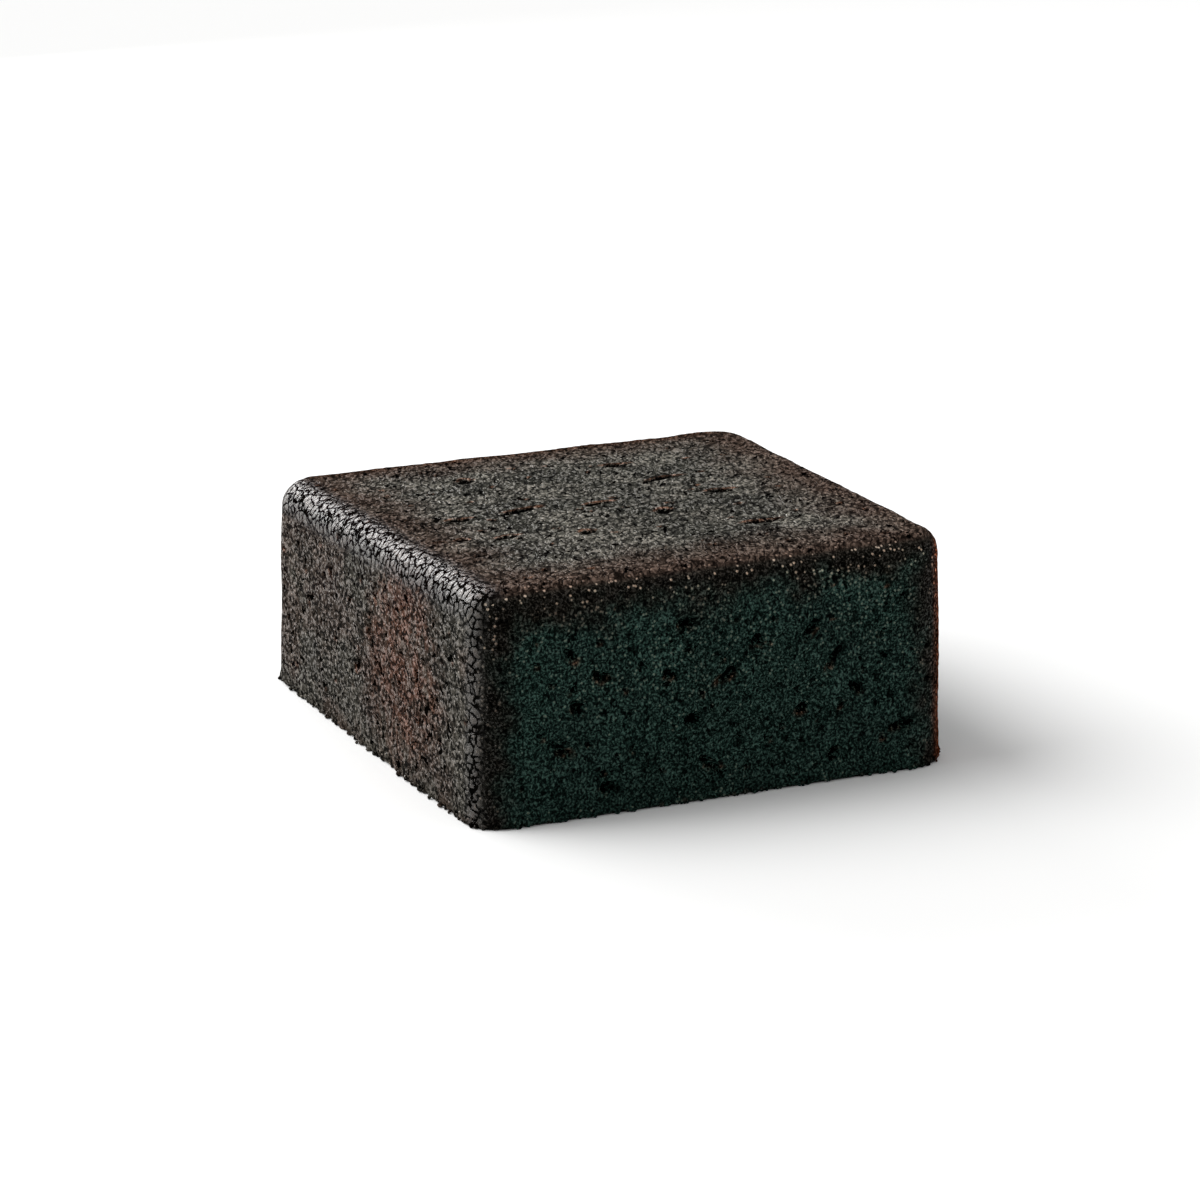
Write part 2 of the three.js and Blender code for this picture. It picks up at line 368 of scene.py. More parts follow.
# How far out from a pore's middle something fades, where 1 is its outline
SUNK = (0.1, 1.05)
OPENING = (0.55, 1.05)
TOP_LIP = (0.85, 1.0, 1.1, 1.6)  # comes in over the first two, goes over the last two
SIDE_LIP = (0.6, 0.75, 0.85, 1.3)
LIT_LIP = (0.1, 0.9)  # mm past the middle over which the lit half begins

# A face's direction, which axes its pores' across and up run along, and which way they turn
FACES = {
    "top": (Vector((0, 0, 1)), 0, 1, 1),
    "front": (Vector((0, -1, 0)), 0, 2, 1),
    "left": (Vector((-1, 0, 0)), 1, 2, -1),
    "right": (Vector((1, 0, 0)), 1, 2, 1),
    "back": (Vector((0, 1, 0)), 0, 2, -1),
}
FACING = (0.45, 0.85)  # part of a normal along a face's direction, over which it joins the face

# Numbers kept at each point, for the material to read
CRUST_MARKS = ("top", "front", "right", "to_edge", "left_edge", "back_edge", "pore", "lip_highlight", "rust")
RUST_PLACE = (-28, 34)  # along the left side and up, in mm
RUST_RADII = (12, 38)  # mm, full inside the first and gone past the second
RUST_UPRIGHT = 0.9  # its width over its height

# The foot's fray: waves in radians for each mm along x, y and z
FRAY_BROAD = (1.9, 2.3, 1.4)
FRAY_SWING = 2  # radians that the broad waves swing by, as they go along y
FRAY_SWING_WAVE = 0.7
FRAY_FINE = (3.7, 3.1, 2.9)
FRAY_FINE_SHARE = 0.6
FRAY_HEIGHT = (1.0, 4.5)  # mm, full below the first and gone above the second
ON_SIDE = 0.8  # upright part of a normal, below which a point is on a side
UNDERSIDE = 1.2 * MM  # the uneven underside lies below this
UNDER_LEVEL = 0.98  # downward part of a normal, past which a face belongs to the flat base
FLAT = 1e-6  # metres above the floor that still count as on it


def cloud_texture(name, size):
    texture = bpy.data.textures.new(name, "CLOUDS")
    texture.noise_scale = size
    texture.noise_depth = 1
    return texture


def cell_texture(name, size):
    """Cells that rise from their borders to their centres."""
    texture = bpy.data.textures.new(name, "VORONOI")
    texture.noise_scale = size
    texture.weight_1 = -1.0
    texture.weight_2 = 1.0
    return texture


def displace(piece, texture, strength, middle=0.5):
    apply_modifier(
        piece, "DISPLACE", texture=texture, texture_coords="LOCAL", direction="NORMAL",
        strength=strength, mid_level=middle,
    )


def strewn_pores(face, count):
    """Small pores scattered evenly over a face, as across, up, length, width, depth and turn."""
    shape = settings().shape
    draw = np.random.default_rng(settings().seed + len(face))
    wide = (shape.depth if face in ("left", "right") else shape.width) / MM - 2 * PORE_MARGIN
    high = (shape.depth if face == "top" else shape.height) / MM - 2 * PORE_MARGIN
    low = -high / 2 if face == "top" else PORE_MARGIN
    columns = round(math.sqrt(count * wide / high))
    rows = math.ceil(count / columns)
    pores = []
    for i in range(columns):
        for j in range(rows):
            across = ((i + draw.random()) / columns - 0.5) * wide
            up = low + (j + draw.random()) / rows * high
            long = draw.uniform(*STREWN_LENGTH)
            wide_across = draw.uniform(*STREWN_WIDTH)
            pores.append((across, up, long, wide_across, STREWN_DEPTH, draw.uniform(*STREWN_TURN)))
    return pores


def dent_pores(piece, zones):
    """Sinks the oval pores into the crust; gives how open each point is, and the painted highlight on the lit
    half of its rim, 0 to 1.
    """
    points = points_of(piece.data)
    middle = np.array(block_middle())
    openings = np.zeros(len(points))
    lip_highlights = np.zeros(len(points))
    for face, count in STREWN_PORES.items():
        outward, across, up, handed = FACES[face]
        members = np.flatnonzero(zones[face] > 0.5)
        place = (points[members] - middle) / MM
        lip_in, lip_full, lip_out, lip_end = TOP_LIP if face == "top" else SIDE_LIP
        towards_light = 1 if face == "top" else -1
        sunk = np.zeros(len(members))
        for centre_a, centre_b, long, wide, depth, turn in (*PORES.get(face, ()), *strewn_pores(face, count)):
            angle = math.radians(turn) * handed
            da = place[:, across] - centre_a
            db = place[:, up] - centre_b
            along = da * math.cos(angle) + db * math.sin(angle)
            beside = db * math.cos(angle) - da * math.sin(angle)
            beside += PORE_BEND * wide * np.sin(along * PORE_WAVES / long + centre_a)
            share = np.hypot(along / (long / 2), beside / (wide / 2))
            sunk = np.maximum(sunk, (1 - smooth_step(share, *SUNK)) * depth)
            openings[members] = np.maximum(openings[members], 1 - smooth_step(share, *OPENING))
            band = smooth_step(share, lip_in, lip_full) * (1 - smooth_step(share, lip_out, lip_end))
            lip_highlights[members] = np.maximum(lip_highlights[members], band * smooth_step(db * towards_light, *LIT_LIP))
        points[members] -= np.outer(sunk * MM, np.array(outward))
    place_points(piece.data, points)
    return openings, lip_highlights


def measure_zones(piece):
    """Where each point lies on the smooth block: its face, and how close the edges are, in mm."""
    shape = settings().shape
    points = points_of(piece.data) - np.array(block_middle())
    normals = normals_of(piece.data)
    zones = {face: smooth_step(normals @ np.array(spec[0]), *FACING) for face, spec in FACES.items()}
    u = points[:, 0] / shape.width + 0.5
    v = points[:, 1] / shape.depth + 0.5
    lean = points[:, 2] * math.tan(shape.splay)
    x = points[:, 0] - shape.skew_x * u * v
    y = points[:, 1] - shape.skew_y * u * v
    right_gap, left_gap = shape.width / 2 - lean - x, shape.width / 2 - lean + x
    back_gap, front_gap = shape.depth / 2 - lean - y, shape.depth / 2 - lean + y
    top_gap = shape.height - shape.sink * (1 - u) * v - points[:, 2]
    gaps = np.stack([right_gap, left_gap, back_gap, front_gap, top_gap])
    zones["to_edge"] = np.sort(gaps, axis=0)[1] / MM
    zones["left_edge"] = np.maximum(left_gap, np.minimum(top_gap, front_gap)) / MM
    zones["back_edge"] = np.maximum(back_gap, top_gap) / MM
    return zones


def rust_patch(piece):
    """The reddish patch on the left side: 1 in its middle, 0 outside."""
    points = (points_of(piece.data) - np.array(block_middle())) / MM
    out = np.hypot(points[:, 1] - RUST_PLACE[0], (points[:, 2] - RUST_PLACE[1]) * RUST_UPRIGHT)
    return 1 - smooth_step(out, *RUST_RADII)


def fray_base(piece):
    """Crumbs torn along the bottom edge: points near it move in and out."""
    points = points_of(piece.data)
    normals = normals_of(piece.data)
    x, y, z = points.T / MM
    broad = np.sin(x * FRAY_BROAD[0] + FRAY_SWING * np.sin(y * FRAY_SWING_WAVE))
    broad *= np.sin(y * FRAY_BROAD[1] + z * FRAY_BROAD[2])
    fine = np.sin(x * FRAY_FINE[0] + y * FRAY_FINE[1] + z * FRAY_FINE[2])
    near = (1 - smooth_step(z, *FRAY_HEIGHT)) * (np.abs(normals[:, 2]) < ON_SIDE)
    reach = (broad + FRAY_FINE_SHARE * fine) * near * settings().shape.frayed
    points += normals * [1, 1, 0] * reach[:, None]
    place_points(piece.data, points)


def flatten_base(piece):
    """Lays the underside flat and closes it with one face."""
    points = points_of(piece.data)
    normals = normals_of(piece.data)
    under = (points[:, 2] < UNDERSIDE) & (normals[:, 2] < -LEVEL)
    points[under, 2] = 0
    points[:, 2] = np.maximum(points[:, 2], 0)
    place_points(piece.data, points)

    def in_base(face):
        is_level = face.normal.z < -UNDER_LEVEL
        return is_level and all(piece.data.vertices[i].co.z < FLAT for i in face.vertices)

    select_in_edit(piece, "FACE", in_base)
    bpy.ops.mesh.dissolve_faces()
    leave_edit()


# ---------------------------------------------------------------- wiring of materials

class Wiring:
    """Adds nodes to a node tree and links them as they are made."""

    def __init__(self, tree):
        self.tree = tree

    def add(self, kind, inputs=None, **values):
        node = self.tree.nodes.new(kind)
        for name, value in values.items():
            setattr(node, name, value)
        for name, value in (inputs or {}).items():
            self.feed(node.inputs[name], value)
        return node

    def feed(self, socket, value):
        if isinstance(value, bpy.types.NodeSocket):
            self.tree.links.new(value, socket)
        else:
            socket.default_value = value

    def math(self, operation, *values):
        """One operation on two numbers, or on more, from the first to the last."""
        total = values[0]
        for value in values[1:]:
            total = self.add("ShaderNodeMath", {0: total, 1: value}, operation=operation).outputs[0]
        return total

    def sum(self, *values):
        return self.math("ADD", *values)

    def product(self, *values):
        return self.math("MULTIPLY", *values)

    def highest(self, *values):
        return self.math("MAXIMUM", *values)

    def rest(self, share):
        """What a share leaves of 1."""
        return self.math("SUBTRACT", 1.0, share)

    def ramp(self, value, low, high, start=0.0, end=1.0):
        """Smoothly from start at low to end at high."""
        sockets = {"Value": value, "From Min": low, "From Max": high, "To Min": start, "To Max": end}
        node = self.add("ShaderNodeMapRange", sockets, interpolation_type="SMOOTHSTEP")
        return node.outputs["Result"]

    def fade(self, value, low, high, start=1.0):
        """Smoothly from start at low to nothing at high."""
        return self.ramp(value, low, high, start, 0.0)

    def scaled(self, share, factor):
        """1 where the share is 0, and smoothly to the factor where it is 1."""
        return self.ramp(share, 0.0, 1.0, 1.0, factor)

    def blend(self, share, first, second):
        """One number to another, by share."""
        node = self.add("ShaderNodeMix", {0: share, 2: first, 3: second}, data_type="FLOAT")
        return node.outputs[0]

    def mix(self, share, first, second):
        """One colour to another, by share."""
        node = self.add("ShaderNodeMix", data_type="RGBA")
        self.feed(node.inputs["Factor"], share)
        for socket, value in ((node.inputs[6], first), (node.inputs[7], second)):
            is_rgb = not isinstance(value, bpy.types.NodeSocket) and len(value) == 3
            self.feed(socket, (*value, 1.0) if is_rgb else value)
        return node.outputs[2]

    def noise(self, vector, scale, detail=2.0, roughness=0.5, result="Fac"):
        sockets = {"Vector": vector, "Scale": scale, "Detail": detail, "Roughness": roughness}
        return self.add("ShaderNodeTexNoise", sockets).outputs[result]

    def cells(self, vector, scale, feature="F1"):
        return self.add("ShaderNodeTexVoronoi", {"Vector": vector, "Scale": scale}, feature=feature).outputs

    def vector(self, operation, first, second):
        return self.add("ShaderNodeVectorMath", {0: first, 1: second}, operation=operation).outputs[0]

    def attribute(self, name):
        return self.add("ShaderNodeAttribute", attribute_name=name).outputs["Fac"]


# ---------------------------------------------------------------- pattern of the crumb

# A scale counts a pattern's cells for each metre. Where nothing else is said, a pair is the
# range of a noise over which something comes in or goes, and a pair of heights what it gives.
COARSE = 0.6  # roughness of the noises with broken outlines
MIDDLING = (0.3, 0.7)
NOISE_MIDDLE = 0.5
WARP_SCALE = 420.0
WARP_REACH = 1.6 * MM
FINE_SCALE = 1000.0
LINE_CORE = 0.004

WORM_DRAWN_OUT = (1, 0.58, 0.85)  # below 1 draws the pattern out along that axis
WORM_HEIGHT = (0.48, 0.82)
SLIT_SCALE, SLIT_WIDTH, SLIT_DEPTH = 430.0, 0.10, 0.42
SLIT_BREAKS = (0.44, 0.56)

STRAND_LINES = ((500.0, 0.08), (720.0, 0.09))  # scale and width
STRAND_FINE_SCALE = 900.0
STRAND_BREAKS = (0.40, 0.54)
STRAND_HEIGHT = 0.22
STRAND_GROUND = (0.3, 0.62, 0.46, 0.64)  # range of the fine noise, and the heights it gives
GAP_SCALE, GAP_WIDTH, GAP_DEPTH = 430.0, 0.08, 0.3
GAP_SHIFT = (9.1, 9.1, 9.1)  # so that the gaps don't follow the strands

GRAIN_SCALE = 1450.0
GRAIN_GROUND = (0.28, 0.72, 0.18, 0.95)  # range of the noise, and the heights it gives

CELL_SCALE = 340.0
CELL_HEIGHT = (0.7, 0.95)
CRACK_CORE = 0.02
CRACK_WIDTH = (0.38, 0.62, 0.06, 0.27)  # range of the fine noise, and the widths it gives

SIDE_PIT_SCALE, SIDE_PITS = 430.0, (0.34, 0.39)
TOP_PIT_SCALE, TOP_PITS = 470.0, (0.33, 0.38)
EDGE_PITS_LOST = 0.6
FRONT_PITS_KEPT = 0.75
PORE_RAGGED = (4.0, 2.4)  # on the sides and on the top
PORE_BOUND = (0.72, 0.34)  # on the sides and on the top
PORE_START = (0.02, 0.2)  # range of a pore's mark, outside which nothing is ragged
PORE_OUTLINE = 0.14  # how far past its bound a pore is fully open

FLECK_SCALE = 760.0
FLECK_SIZE = (0.14, 0.40)
FLECK_RARITY = 0.68
# Painted glints: how much lighter the flecks are
FLECK_GLINT_LIGHT = (3.4, 7.5)  # on lit and on shaded crust
FLECK_HEIGHT = 0.2

# Lightness from the height of the crumb: its own grain, with painted shade in pits, pores, slits and cracks
# and painted light on the ridges
TONE_CURVE = 2.0
TONE_RANGE = (0.0, 0.9, 0.12, 2.9)  # of the curved height, and the lightness it gives
# Painted shade: lightness kept deep in a pit or pore
HOLLOW_SHADE = 0.03
HOLLOW_DEPTH = 1.2
GLINT = (0.62, 0.86, 0.04, 0.9)  # of the height, and the shine it gives
CELL_GLINT = (0.18, 0.8)  # of the height


def crossing(w, vector, scale, width):
    """Lines where a noise crosses its middle: 1 on the line, 0 beside it."""
    level = w.noise(vector, scale, detail=1.0)
    offset = w.math("SUBTRACT", level, NOISE_MIDDLE)
    away = w.add("ShaderNodeMath", {0: offset}, operation="ABSOLUTE").outputs[0]
    return w.fade(away, LINE_CORE, width)


def worm_pattern(w, drawn_out):
    """Left side and back: worm-like pebbles, longest from front to back, and broken dark slits."""
    fine = w.noise(drawn_out, FINE_SCALE, detail=3.0, roughness=COARSE)
    slit = w.product(crossing(w, drawn_out, SLIT_SCALE, SLIT_WIDTH), w.fade(fine, *SLIT_BREAKS))
    return w.math("SUBTRACT", w.ramp(fine, *MIDDLING, *WORM_HEIGHT), w.product(slit, SLIT_DEPTH))


def strand_pattern(w, length_wise):
    """Top: thin light strands that curl, longer from front to back, and dark gaps."""
    fine = w.noise(length_wise, STRAND_FINE_SCALE)
    strand = w.highest(*(crossing(w, length_wise, scale, width) for scale, width in STRAND_LINES))
    strand = w.product(strand, w.ramp(fine, *STRAND_BREAKS), STRAND_HEIGHT)
    gap = crossing(w, w.vector("ADD", length_wise, GAP_SHIFT), GAP_SCALE, GAP_WIDTH)
    return w.math("SUBTRACT", w.sum(strand, w.ramp(fine, *STRAND_GROUND)), w.product(gap, GAP_DEPTH))


def cell_pattern(w, warped, fine):
    """Lit edges: flat cells with cracks between them."""
    edge = w.cells(warped, CELL_SCALE, "DISTANCE_TO_EDGE")["Distance"]
    cell = w.ramp(edge, CRACK_CORE, w.ramp(fine, *CRACK_WIDTH))
    return w.product(cell, w.ramp(fine, *MIDDLING, *CELL_HEIGHT))


def hollow_pattern(w, given, drawn_out, length_wise, fine):
    """Pits and pores, with ragged outlines."""
    side_pit = w.fade(w.noise(drawn_out, SIDE_PIT_SCALE, roughness=COARSE), *SIDE_PITS)
    top_pit = w.fade(w.noise(length_wise, TOP_PIT_SCALE, roughness=COARSE), *TOP_PITS)
    pit = w.product(
        w.blend(given["Top"], side_pit, top_pit),
        w.rest(w.product(given["Edge"], EDGE_PITS_LOST)),
        w.blend(given["Front"], 1.0, FRONT_PITS_KEPT),
    )
    uneven = w.product(w.math("SUBTRACT", fine, NOISE_MIDDLE), w.blend(given["Top"], *PORE_RAGGED))
    ragged = w.product(w.sum(given["Pore"], uneven), w.ramp(given["Pore"], *PORE_START))
    pore = w.ramp(w.math("SUBTRACT", ragged, w.blend(given["Top"], *PORE_BOUND)), 0.0, PORE_OUTLINE)
    return w.highest(pit, pore)


def fleck_pattern(w, place):
    """Small points where the crust shines, painted bright as glints."""
    cells = w.cells(place, FLECK_SCALE)
    rare = w.add("ShaderNodeSeparateColor", {0: cells["Color"]}).outputs["Green"]
    return w.product(w.fade(cells["Distance"], *FLECK_SIZE), w.math("GREATER_THAN", rare, FLECK_RARITY))


def grain_group(crust):
    """Baked crumb: wrinkled sides, a grained front, curly strands on top, cracked glossy edges."""
    group = bpy.data.node_groups.new("crust_grain", "ShaderNodeTree")
    group.interface.new_socket("Vector", in_out="INPUT", socket_type="NodeSocketVector")
    for name in ("Top", "Front", "Edge", "Pore"):
        group.interface.new_socket(name, in_out="INPUT", socket_type="NodeSocketFloat")
    for name in ("Height", "GrainAndShading", "Shine", "GlintFleck"):
        group.interface.new_socket(name, in_out="OUTPUT", socket_type="NodeSocketFloat")
    w = Wiring(group)
    given = w.add("NodeGroupInput").outputs
    place = given["Vector"]

    wobble = w.vector("SUBTRACT", w.noise(place, WARP_SCALE, result="Color"), (NOISE_MIDDLE,) * 3)
    warped = w.vector("ADD", place, w.vector("MULTIPLY", wobble, (WARP_REACH,) * 3))
    drawn_out = w.vector("MULTIPLY", warped, WORM_DRAWN_OUT)
    laid = {"Vector": warped, "Rotation": (0, 0, crust.strand_turn), "Scale": (1, crust.strand_length, 1)}
    length_wise = w.add("ShaderNodeMapping", laid, vector_type="TEXTURE").outputs["Vector"]
    fine = w.noise(warped, FINE_SCALE, detail=3.0, roughness=COARSE)

    grain = w.ramp(w.noise(warped, GRAIN_SCALE, roughness=COARSE), *GRAIN_GROUND)
    height = w.blend(given["Top"], worm_pattern(w, drawn_out), strand_pattern(w, length_wise))
    height = w.blend(given["Front"], height, grain)
    height = w.blend(given["Edge"], height, cell_pattern(w, warped, fine))
    hollow = hollow_pattern(w, given, drawn_out, length_wise, fine)
    whole = w.rest(hollow)
    glint_fleck = w.product(fleck_pattern(w, place), whole)

    # Lightness from the height: the crumb's grain, painted shade in the hollows and painted light on the
    # ridges, plus painted glints at the flecks
    curved = w.math("POWER", w.highest(height, 0.0), TONE_CURVE)
    grain_and_shading = w.product(w.ramp(curved, *TONE_RANGE), w.scaled(hollow, HOLLOW_SHADE))
    grain_and_shading = w.sum(grain_and_shading, w.product(glint_fleck, w.blend(given["Front"], *FLECK_GLINT_LIGHT)))
    shine = w.blend(given["Edge"], w.ramp(height, *GLINT), w.ramp(height, *CELL_GLINT))
    w.add("NodeGroupOutput", {
        "Height": w.sum(height, w.product(hollow, -HOLLOW_DEPTH), w.product(glint_fleck, FLECK_HEIGHT)),
        "GrainAndShading": grain_and_shading, "Shine": w.highest(w.product(whole, shine), glint_fleck), "GlintFleck": glint_fleck,
    })
    return group


# ---------------------------------------------------------------- colour of the crust

BLOTCH_SCALE, MOTTLE_SCALE, DRIFT_SCALE = 60.0, 240.0, 38.0
DRIFT_SHIFT = (0.3, 0.3, 0.3)  # so that the cool patches don't follow the blotches
COOL = (0.44, 0.58, 0.0, 0.68)  # range of the drift, and the share of moss it gives
RUSTY = (0.4, 0.6, 0.3, 0.95)  # range of the mottle, and the share of rust it gives
PATCHY_LIP = (0.46, 0.6, 0.0, 0.8)  # the same for the lips on shaded crust
BLOTCHES = (0.25, 0.75, 0.75, 1.25)  # range of the blotches, and the lightness it gives

# Distances from an edge in mm, full at the first and gone at the second
LIT_EDGE = (4.5, 11.0)
EDGE_BAND = (4.0, 26.0)
# Painted glow along the front right corner's edge
RIGHT_RIM_GLOW = (7.0, 18.0)
BACK_RIM = (3.0, 13.0)
FRONT_RIM = (2.0, 8.0)
RIM_SHARE = 0.95
BAND_SHARE = 0.85
# Painted glints on shaded crust are greyed
PALE_GLINT = 0.6  # share by which a fleck on shaded crust loses its green
BAND_RAGGED = 5.0  # mm by which the blotches move the band's border
BAND_THINNING = (0.75, 1.7)  # on lit and on shaded crust
# Places in metres from the frame's origin, between which a share comes in or goes
FOREMOST = (-72 * MM, -58 * MM)
LEFTMOST = (-78 * MM, -58 * MM)
UPPERMOST = (44 * MM, 58 * MM)

# Lightness that a kind of crust keeps or gains, including painted shade and painted highlights
LIT_EDGE_LIGHT = 0.42
# Painted highlight: how much lighter the lit pore rims are on the top
TOP_LIP_LIGHT = 2.2
RIM_LIGHT = 0.7
# Painted shade: lightness kept at the front's left end, where the corner turns from the light
CORNER_SHADE_LIGHT = 0.6
# Painted glints: the flecks along the front's upper edge are made much lighter
FRONT_RIM_GLINTS = 38.0  # gained by the flecks along the front's upper edge

ROUGHNESS = (0.75, 0.42)  # dull and shiny
MOTTLED_ROUGHNESS = (-0.05, 0.08)
SHADED_GLOSS = 0.4
TOP_EDGE_GLOSS = 0.35
COAT_ROUGHNESS = 0.24
COAT_TINT = (1.0, 0.93, 0.87, 1.0)


def crust_masks(w, place):
    """The slow noises, and where each kind of crust lies, from 0 to 1."""
    at = SimpleNamespace()
    at.blotch = w.noise(place, BLOTCH_SCALE, detail=4.0, roughness=COARSE)
    at.mottle = w.noise(place, MOTTLE_SCALE)
    to_edge = w.attribute("to_edge")
    at.top, at.front, right = w.attribute("top"), w.attribute("front"), w.attribute("right")
    at.shaded = w.highest(at.front, right)
    at.sunlit = w.rest(at.shaded)
    at.lit_edge = w.product(w.fade(w.attribute("left_edge"), *LIT_EDGE), at.sunlit)

    ragged = w.sum(to_edge, w.ramp(at.blotch, *MIDDLING, -BAND_RAGGED, BAND_RAGGED))
    at.band = w.fade(w.product(ragged, w.blend(at.shaded, *BAND_THINNING)), *EDGE_BAND)
    along = w.add("ShaderNodeSeparateXYZ", {0: place}).outputs
    at.uppermost = w.ramp(along["Z"], *UPPERMOST)
    # Painted shade where the front's left corner turns away from the light
    at.leftmost = w.product(w.fade(along["X"], *LEFTMOST), at.front)
    # Painted glow: red-brown light through the crust near the front right corner, without coat
    at.right_rim = w.product(right, w.fade(to_edge, *RIGHT_RIM_GLOW, RIM_SHARE), w.fade(along["Y"], *FOREMOST))
    # Along the back edge of the lit crust: a reddish tint in the painted highlights' colour, darker and
    # without coat
    at.back_rim = w.product(w.fade(w.attribute("back_edge"), *BACK_RIM, RIM_SHARE), at.sunlit)
    at.front_rim = w.product(w.fade(to_edge, *FRONT_RIM), at.front)
    # Painted highlight: the lit half of each pore's rim, patchy on shaded crust
    at.lip_highlight = w.product(w.attribute("lip_highlight"), w.blend(at.shaded, 1.0, w.ramp(at.mottle, *PATCHY_LIP)))
    return at


def crust_colour(w, crust, place, at, glint_fleck):
    """The crust's tints, laid over each other by their shares, with painted shade, sheen, glow, highlights
    and glints among them.
    """
    drift = w.noise(w.vector("ADD", place, DRIFT_SHIFT), DRIFT_SCALE, detail=3.0)
    banded = w.product(at.band, w.highest(at.top, at.shaded), BAND_SHARE)
    # Laid over the painted lit and shaded copies: the top's colour with its painted sheen, cool patches, edge
    # bands (painted shade on shaded crust), rust, the painted glow at the right rim, the back rim, the
    # painted highlights on the pores' rims, and painted glints greyed on shaded crust
    layers = (
        (at.top, crust.slate_sheen),
        (w.product(w.ramp(drift, *COOL), at.sunlit), crust.moss),
        (banded, w.mix(at.shaded, crust.brown, crust.shade_edge)),
        (w.product(w.attribute("rust"), w.ramp(at.mottle, *RUSTY)), crust.rust),
        (at.right_rim, crust.rim),
        (at.back_rim, crust.lip_highlight),
        (at.lip_highlight, crust.lip_highlight),
        (w.product(glint_fleck, at.shaded, PALE_GLINT), crust.shade_edge),
    )
    # Painted shade: shaded faces start from the darker copy of the crust's colour, the others from the lit
    # one
    tint = w.mix(at.shaded, crust.lit, crust.shade)
    for share, over in layers:
        tint = w.mix(share, tint, over)
    return tint


def crust_lightness(w, at, marks):
    """How light the crumb is, by its height and by where it lies, with painted shade in its hollows and at
    the front's left corner, and painted highlights on the top's pore rims and glints along the front's upper
    edge.
    """
    lightness = w.product(
        marks["GrainAndShading"],
        w.ramp(at.blotch, *BLOTCHES),
        w.scaled(at.lit_edge, LIT_EDGE_LIGHT),
        w.scaled(w.product(at.lip_highlight, at.top), TOP_LIP_LIGHT),
        w.scaled(at.front_rim, RIM_LIGHT),
        w.scaled(at.back_rim, RIM_LIGHT),
        w.scaled(at.leftmost, CORNER_SHADE_LIGHT),
    )
    return w.sum(lightness, w.product(marks["GlintFleck"], at.front_rim, at.uppermost, FRONT_RIM_GLINTS))


def crust_gloss(w, at, shine):
    """The crust's roughness, and the weight of its sticky coat."""
    mottled = w.ramp(at.mottle, *MIDDLING, *MOTTLED_ROUGHNESS)
    roughness = w.sum(w.ramp(shine, 0.0, 1.0, *ROUGHNESS), mottled)
    gloss = w.blend(at.shaded, 1.0, SHADED_GLOSS)
    gloss = w.product(gloss, w.scaled(w.product(at.band, at.top), TOP_EDGE_GLOSS))
    gloss = w.product(w.blend(at.lit_edge, gloss, 1.0), w.rest(w.highest(at.right_rim, at.back_rim)))
    return roughness, w.product(shine, gloss)


def crust_material(grain):
    """Dark chocolate crust, coloured by face, with painted shade on the front and the right side, and by how
    near the edges are.
    """
    crust = settings().crust
    material = bpy.data.materials.new("chocolate_crust")
    material.use_nodes = True
    material.node_tree.nodes.clear()
    w = Wiring(material.node_tree)
    place = w.add("ShaderNodeTexCoord").outputs["Object"]
    at = crust_masks(w, place)
    sockets = {
        "Vector": place, "Top": at.top, "Front": at.shaded, "Edge": at.lit_edge, "Pore": w.attribute("pore")
    }
    marks = w.add("ShaderNodeGroup", sockets, node_tree=grain).outputs
    tint = crust_colour(w, crust, place, at, marks["GlintFleck"])
    tint = w.add("ShaderNodeVectorMath", {0: tint, "Scale": crust_lightness(w, at, marks)}, operation="SCALE")
    roughness, coat = crust_gloss(w, at, marks["Shine"])

    bump = w.add("ShaderNodeBump", {"Height": marks["Height"], "Strength": 1.0, "Distance": crust.pebble})
    shader = w.add("ShaderNodeBsdfPrincipled", {
        "Base Color": tint.outputs[0], "Roughness": roughness, "Specular IOR Level": 0.0,
        "Normal": bump.outputs["Normal"], "Coat Weight": coat, "Coat Normal": bump.outputs["Normal"],
        "Coat Roughness": COAT_ROUGHNESS, "Coat Tint": COAT_TINT,
    })
    w.add("ShaderNodeOutputMaterial", {"Surface": shader.outputs["BSDF"]})
    return material


# ---------------------------------------------------------------- the cake and its crumbs

CRUMB_UNEVEN = 0.4 * MM
CRUMB_SIZES = (0.3, 1.0)  # of the largest crumb
CRUMB_GAP = (-0.3, 0.4)  # mm between a crumb's middle and the crust
FOOT = (0.2 * MM, 1.6 * MM)  # height of the points that crumbs lie beside


class MUDCAKE_OT_cake(bpy.types.Operator):
    """Model the whole cake: the rounded block, its pebbled crust, pores and flat base"""

    bl_idname = "mud_cake.add_cake"
    bl_label = "Add cake"

    def execute(self, context):
        crust = settings().crust
        piece = add_block()
        apply_modifier(piece, "REMESH", mode="VOXEL", voxel_size=settings().shape.grain, adaptivity=0.0)
        if not len(piece.data.vertices):
            raise RuntimeError("the block has no points after its remesh")
        apply_modifier(piece, "SMOOTH", **SMOOTHING)
        lean_corners(piece)
        zones = measure_zones(piece)
        displace(piece, cloud_texture("swell", SWELL_SIZE), crust.swell)
        displace(piece, cell_texture("lumps", LUMP_SIZE), crust.lump, middle=LUMP_LEVEL)
        zones["pore"], zones["lip_highlight"] = dent_pores(piece, zones)
        zones["rust"] = rust_patch(piece) * zones["left"]
        for name in CRUST_MARKS:
            store(piece.data, name, zones[name])
        fray_base(piece)
        flatten_base(piece)
        make_active(piece)
        bpy.ops.object.shade_smooth()
        piece.data.materials.clear()
        piece.data.materials.append(crust_material(grain_group(crust)))
        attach(piece, "root")
        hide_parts("cake")
        return {"FINISHED"}


